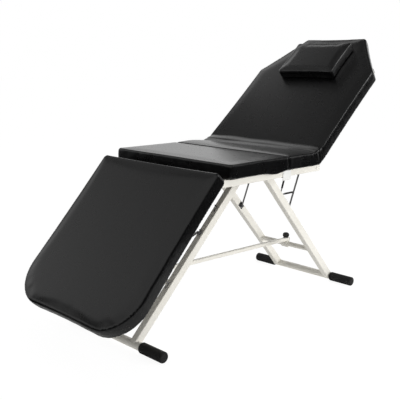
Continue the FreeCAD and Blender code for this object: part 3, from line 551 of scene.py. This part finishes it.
def side_waves(pad, top_of, depth):
    """Presses faint waves into the sides, where the cover is drawn down to its staples."""
    normals = [vertex.normal.copy() for vertex in pad.data.vertices]
    for vertex, outward in zip(pad.data.vertices, normals):
        if abs(outward.dot(top_of(vertex.co))) < SIDE_FACING:
            ripple = noise.noise(vertex.co * LONG_RIPPLE)
            ripple += SHORT_SHARE * noise.noise(vertex.co * SHORT_RIPPLE)
            vertex.co = vertex.co + outward * (depth * ripple - depth * INWARD_SHARE)


def upholster(pad, block, held, most, top_of, wave_depth):
    """Takes a remeshed copy of a plain block through all steps to a finished pad."""
    swell(pad, held, most)
    ironed(pad, FIRST_IRONING)
    finer(pad)
    tight_edges(pad, block, top_of)
    side_waves(pad, top_of, wave_depth)


print("edges ready")

# %% [markdown]
# ## Directions of the sections
# Back and leg rest lie flat at one end of their joints' ranges, so those limits are also their angles in
# the photographed pose. The boards of all sections lie equally far above their hinge axes.

# %% Work out the directions
recline = math.radians(-joints["back_tilt"]["range_deg"][0])
hang = math.radians(joints["leg_rest_tilt"]["range_deg"][1])
back_hinge = Vector(joints["back_tilt"]["pos_m"])
leg_hinge = Vector(joints["leg_rest_tilt"]["pos_m"])
upright = Vector((0, 0, 1))
along_back = Vector((math.cos(recline), 0, math.sin(recline)))
out_of_back = Vector((-math.sin(recline), 0, math.cos(recline)))
along_leg_rest = Vector((-math.cos(hang), 0, -math.sin(hang)))
out_of_leg_rest = Vector((-math.sin(hang), 0, math.cos(hang)))
seat_low, seat_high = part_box("seat_cushion")
seat_base = seat_low[2]
board_plane = seat_base - back_hinge.z
print("boards", round(board_plane, 4), "above the hinges")

# %% [markdown]
# ## Leg rest
# The leg rest is the pad nearest to the viewer, wide and smooth with big round corners at its foot. The
# held band is the part of the side that lies against the board.

# %% Inflate the leg rest
PAD_SQUARE = 0.0078
SWELL_MOST = 0.0016
BOARD_BAND = 0.016
WAVE_DEPTH = 0.0006


def under_leg_rest(place):
    return (place - leg_hinge).dot(out_of_leg_rest) < board_plane + BOARD_BAND


leg_rest = bare_copy("leg_rest_pad", "leg_rest_cushion")
even_squares(leg_rest, PAD_SQUARE)
plain_leg_rest = bare_copy("plain_block", "leg_rest_cushion")
upholster(leg_rest, plain_leg_rest, under_leg_rest, SWELL_MOST, lambda place: out_of_leg_rest, WAVE_DEPTH)
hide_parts("leg_rest_cushion")
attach(leg_rest, "leg_rest")
print(leg_rest.name, len(leg_rest.data.polygons))

# %% [markdown]
# ## Seat
# The front half of the seat is a separate pad, made in the same way.


# %% Inflate the seat
def under_seat(place):
    return place.z < seat_base + BOARD_BAND


seat = bare_copy("seat_pad", "seat_cushion")
even_squares(seat, PAD_SQUARE)
plain_seat = bare_copy("plain_block", "seat_cushion")
upholster(seat, plain_seat, under_seat, SWELL_MOST, lambda place: upright, WAVE_DEPTH)
print(seat.name, len(seat.data.polygons))

# %% [markdown]
# ## Hanging hem
# The seat's cover isn't drawn tight under the board everywhere: near the seam to the rear strip its lower
# edge hangs a little over the rail. Only points outside the rail and low on the side may move.


# %% Let the hem hang
def wave(distance, middle, width):
    """A soft bump of height one."""
    return math.exp(-((distance - middle) / width) ** 2)


def shape_points(pad, move):
    """Moves every point of a pad by a function of its place, like a sculpting stroke."""
    for vertex in pad.data.vertices:
        vertex.co = vertex.co + move(vertex.co)


HEM_DROP = 0.0075
HEM_WIDTH = 0.04
HEM_INSIDE = 0.272
HEM_RAMP = 0.007
HEM_RIPPLE = 0.0015
RIPPLES_PER_METRE = 14
SIDE_REACH = 0.022
HEM_BEFORE_SEAM = 0.068
hem_middle = seat_high[0] - HEM_BEFORE_SEAM


def seat_hem(place):
    """Lets the lower edge of the cover hang outside the rail, most of all near the seam."""
    aside = limited((abs(place.y) - HEM_INSIDE) / HEM_RAMP)
    low = limited(1 - (place.z - seat_base) / SIDE_REACH)
    drop = HEM_DROP * wave(place.x, hem_middle, HEM_WIDTH)
    drop += HEM_RIPPLE * noise.noise(place * RIPPLES_PER_METRE)
    return Vector((0, 0, -drop * aside * low))


shape_points(seat, seat_hem)
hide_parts("seat_cushion")
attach(seat, "seat")
print("hem drop", HEM_DROP)

# %% [markdown]
# ## Filling the bend
# Behind the seat pad one cover runs on over the bend and up the back, so the bend shows folds instead
# of a gap. Two filler blocks with the pads' edge profile run from the end of the strip to the middle of
# the bend, where the undersides meet in a corner, and on to the start of the back. Each starts as a
# cylinder, whose two rings are then laid onto two profiles.
#
# Three sizes are the exact model's own: how far from its hinge the back starts, how far the top edges at
# the bend are cut back, and how thick the back is.

# %% Measure the bend
SETBACK = 0.022
RELIEF = 0.016
BACK_THICKNESS = 0.046
CORNER_LIFT = 0.0015
rear_low, rear_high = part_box("rear_seat_cushion")
half_width = rear_high[1]
strip_thickness = rear_high[2] - rear_low[2]
rear_foot_edge = Vector((rear_high[0], 0, seat_base))
rear_top_edge = Vector((rear_high[0] - RELIEF, 0, rear_high[2]))
back_foot_edge = back_hinge + along_back * SETBACK + out_of_back * board_plane
back_top_edge = back_foot_edge + along_back * RELIEF + out_of_back * BACK_THICKNESS
crease = (rear_top_edge + back_top_edge) / 2
out_of_bend = (upright + out_of_back).normalized()
lower_corner = back_hinge + out_of_bend * (board_plane / math.cos(recline / 2) + CORNER_LIFT)
print("crease at", [round(value, 4) for value in crease])

# %% [markdown]
# ## Filler blocks
# A profile goes up one side of the pad and down the other. Each of its points is given by a height and by
# how far it lies inside the side face, so that under edge, side, tight rim and crown match the pads.

# %% Fill the bend between strip and back
NEAR_FOOT = [(0, 0.003), (0.003, 0.0008)]
BELOW_TOP = [(0.009, 0.0008), (0.0034, 0.0024), (0.001, 0.008), (0, 0.036)]
INTO_PADS = 0.012
OVERLAP = 0.002


def end_profile(foot, top, thickness):
    """The outline of a pad's end, up the right side and down the left one."""
    levels = NEAR_FOOT + [(thickness / 2, 0)] + [(thickness - below, inset) for below, inset in BELOW_TOP]
    right_side = []
    left_side = []
    for level, inset in levels:
        middle = foot.lerp(top, level / thickness)
        right_side.append(middle - Vector((0, half_width - inset, 0)))
        left_side.append(middle + Vector((0, half_width - inset, 0)))
    return right_side + left_side[::-1]


def shifted(profile, step):
    """The same outline, moved by a step."""
    return [point + step for point in profile]


def filler_block(first_profile, second_profile):
    """A closed block between two end profiles: a cylinder whose rings are laid onto them."""
    bpy.ops.object.select_all(action="DESELECT")
    bpy.ops.mesh.primitive_cylinder_add(vertices=len(first_profile), radius=1, depth=2)
    block = bpy.context.object
    around = sorted(block.data.vertices, key=lambda vertex: math.atan2(vertex.co.y, vertex.co.x))
    lower_ring = [vertex for vertex in around if vertex.co.z < 0]
    upper_ring = [vertex for vertex in around if vertex.co.z > 0]
    for vertex, point in zip(lower_ring + upper_ring, first_profile + second_profile):
        vertex.co = point
    bpy.ops.object.mode_set(mode="EDIT")
    bpy.ops.mesh.select_all(action="SELECT")
    bpy.ops.mesh.normals_make_consistent(inside=False)
    bpy.ops.object.mode_set(mode="OBJECT")
    return block


lengthwise = Vector((1, 0, 0))
strip_end = end_profile(rear_foot_edge, rear_top_edge, strip_thickness)
bend_middle = end_profile(lower_corner, crease, BACK_THICKNESS)
back_start = end_profile(back_foot_edge, back_top_edge, BACK_THICKNESS)
fillers = [
    filler_block(shifted(strip_end, lengthwise * -INTO_PADS), shifted(bend_middle, lengthwise * OVERLAP)),
    filler_block(shifted(bend_middle, lengthwise * -OVERLAP), shifted(back_start, along_back * INTO_PADS)),
]
print("fillers with", [len(block.data.vertices) for block in fillers], "points")

# %% [markdown]
# ## Rear seat strip and back under one cover
# Strip, fillers and back are joined and remeshed into one skin, which is then swollen like the other pads.

# %% Weld and inflate the back
STRIP_REACH = 0.02
back = bare_copy("back_pad", "rear_seat_cushion", "back_cushion")
back.select_set(True)
for block in fillers:
    block.select_set(True)
bpy.context.view_layer.objects.active = back
bpy.ops.object.join()
plain_back = bpy.data.objects.new("plain_block", back.data.copy())
bpy.context.scene.collection.objects.link(plain_back)
even_squares(back, PAD_SQUARE)


def under_back(place):
    beyond = place - back_hinge
    if beyond.dot(along_back) > SETBACK and beyond.dot(out_of_back) < board_plane + BOARD_BAND:
        return True
    return place.z < seat_base + BOARD_BAND and place.x < rear_high[0] + STRIP_REACH


def back_up(place):
    return out_of_back if (place - crease).dot(along_back) > 0 else upright


upholster(back, plain_back, under_back, SWELL_MOST, back_up, WAVE_DEPTH)
print(back.name, len(back.data.polygons))

# %% [markdown]
# ## Folds at the bend
# Sitting has pressed the bend: the strip is crowned, a valley runs across in front of the bend and the
# foot of the back is a roll. Soft waves along the table make these, each with a height, a place from the
# crease and a width. They are deeper at the far side, wander a little across the table and are
# gone at the far and near edges, where the cover is tight.

# %% Press the folds
STRIP_CROWN = (0.003, -0.105, 0.045)
VALLEY = (-0.005, -0.024, 0.016)
BACK_ROLL = (0.0015, 0.012, 0.012)
BACK_VALLEY = (-0.0015, 0.036, 0.014)
FOLDS_START = -0.17
FOLDS_END = 0.12
FOLDS_ABOVE = 0.025
WANDER = 0.006
WANDER_PER_METRE = 9
WANDER_ROW = (0.3, 0.1)
EDGE_FADE = 0.02
MIDDLE_DEPTH = 0.75
DEPTH_SLOPE = 0.5


def bend_folds(place):
    """Crown of the strip, the valley before the bend and the roll at the foot of the back."""
    ahead = place - crease
    along = ahead.x if ahead.x < 0 else ahead.dot(along_back)
    above = min(place.z - seat_base, (place - back_hinge).dot(out_of_back) - board_plane)
    if along < FOLDS_START or along > FOLDS_END or above < FOLDS_ABOVE:
        return Vector((0, 0, 0))
    along += WANDER * noise.noise(Vector((place.y * WANDER_PER_METRE, *WANDER_ROW)))
    fold = 0
    for height, middle, width in (STRIP_CROWN, VALLEY, BACK_ROLL, BACK_VALLEY):
        fold += height * wave(along, middle, width)
    fold *= MIDDLE_DEPTH + DEPTH_SLOPE * place.y / half_width
    fold *= limited((half_width - abs(place.y)) / EDGE_FADE)
    return out_of_bend * fold


shape_points(back, bend_folds)
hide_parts("rear_seat_cushion", "back_cushion")
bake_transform(back)
print("folds pressed")

# %% [markdown]
# ## Head pillow
# A small loose pillow of the same vinyl, a little more wavy than the big pads.

# %% Inflate the pillow
PILLOW_SQUARE = 0.004
PILLOW_MOST = 0.0012
PILLOW_BAND = 0.004
PILLOW_WAVE_DEPTH = 0.0009
pillow = bare_copy("head_pillow", "pillow")
even_squares(pillow, PILLOW_SQUARE)
pillow_base = min((vertex.co - back_hinge).dot(out_of_back) for vertex in pillow.data.vertices)


def under_pillow(place):
    return (place - back_hinge).dot(out_of_back) < pillow_base + PILLOW_BAND


plain_pillow = bare_copy("plain_block", "pillow")
upholster(pillow, plain_pillow, under_pillow, PILLOW_MOST, lambda place: out_of_back, PILLOW_WAVE_DEPTH)
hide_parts("pillow")
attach(pillow, "pillow")
print(pillow.name, len(pillow.data.polygons))

# %% [markdown]
# ## Staples
# Under each board the cover is held by a row of wire staples along its sides. One staple is laid at the
# start of a row, and an array repeats it.

# %% Lay the staples
STAPLE_PITCH = 0.03
STAPLE_LENGTH = 0.010
STAPLE_WIRE = 0.0012
STAPLE_ROUNDING = 0.0004


def staple_row(name, body, start, end, down):
    """A row of staples on the underside of a board, from one point to another."""
    direction = (end - start).normalized()
    across = down.cross(direction)
    bpy.ops.object.select_all(action="DESELECT")
    bpy.ops.mesh.primitive_cube_add(size=1)
    row = bpy.context.object
    row.name = name
    for vertex in row.data.vertices:
        shape = vertex.co.copy()
        wire = across * (shape.y * STAPLE_WIRE) + down * (shape.z * STAPLE_WIRE)
        vertex.co = start + direction * (shape.x * STAPLE_LENGTH) + wire
    array = row.modifiers.new("row", "ARRAY")
    array.use_relative_offset = False
    array.use_constant_offset = True
    array.constant_offset_displace = direction * STAPLE_PITCH
    array.count = int((end - start).length / STAPLE_PITCH) + 1
    bpy.ops.object.modifier_apply(modifier="row")
    bevel = row.modifiers.new("rounded", "BEVEL")
    bevel.width = STAPLE_ROUNDING
    bevel.segments = 2
    bpy.ops.object.modifier_apply(modifier="rounded")
    row.data.materials.append(finishes["bare_steel"])
    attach(row, body)


STAPLE_INSIDE = 0.014
FIRST_STAPLE = 0.03
BACK_ROW_END = 0.42
LEG_REST_ROW_END = 0.43
leg_rest_foot_edge = leg_hinge + out_of_leg_rest * board_plane
staple_spans = {
    "seat": (Vector((seat_low[0] + FIRST_STAPLE, 0, seat_base)),
             Vector((rear_high[0] - FIRST_STAPLE, 0, seat_base)), -upright),
    "back": (back_foot_edge + along_back * FIRST_STAPLE,
             back_foot_edge + along_back * BACK_ROW_END, -out_of_back),
    "leg_rest": (leg_rest_foot_edge + along_leg_rest * FIRST_STAPLE,
                 leg_rest_foot_edge + along_leg_rest * LEG_REST_ROW_END, -out_of_leg_rest),
}
for body, (start, end, down) in staple_spans.items():
    for side_name, side in (("right", -1), ("left", 1)):
        aside = Vector((0, side * (half_width - STAPLE_INSIDE), 0))
        staple_row(body + "_staples_" + side_name, body, start + aside, end + aside, down)
print("staples laid")
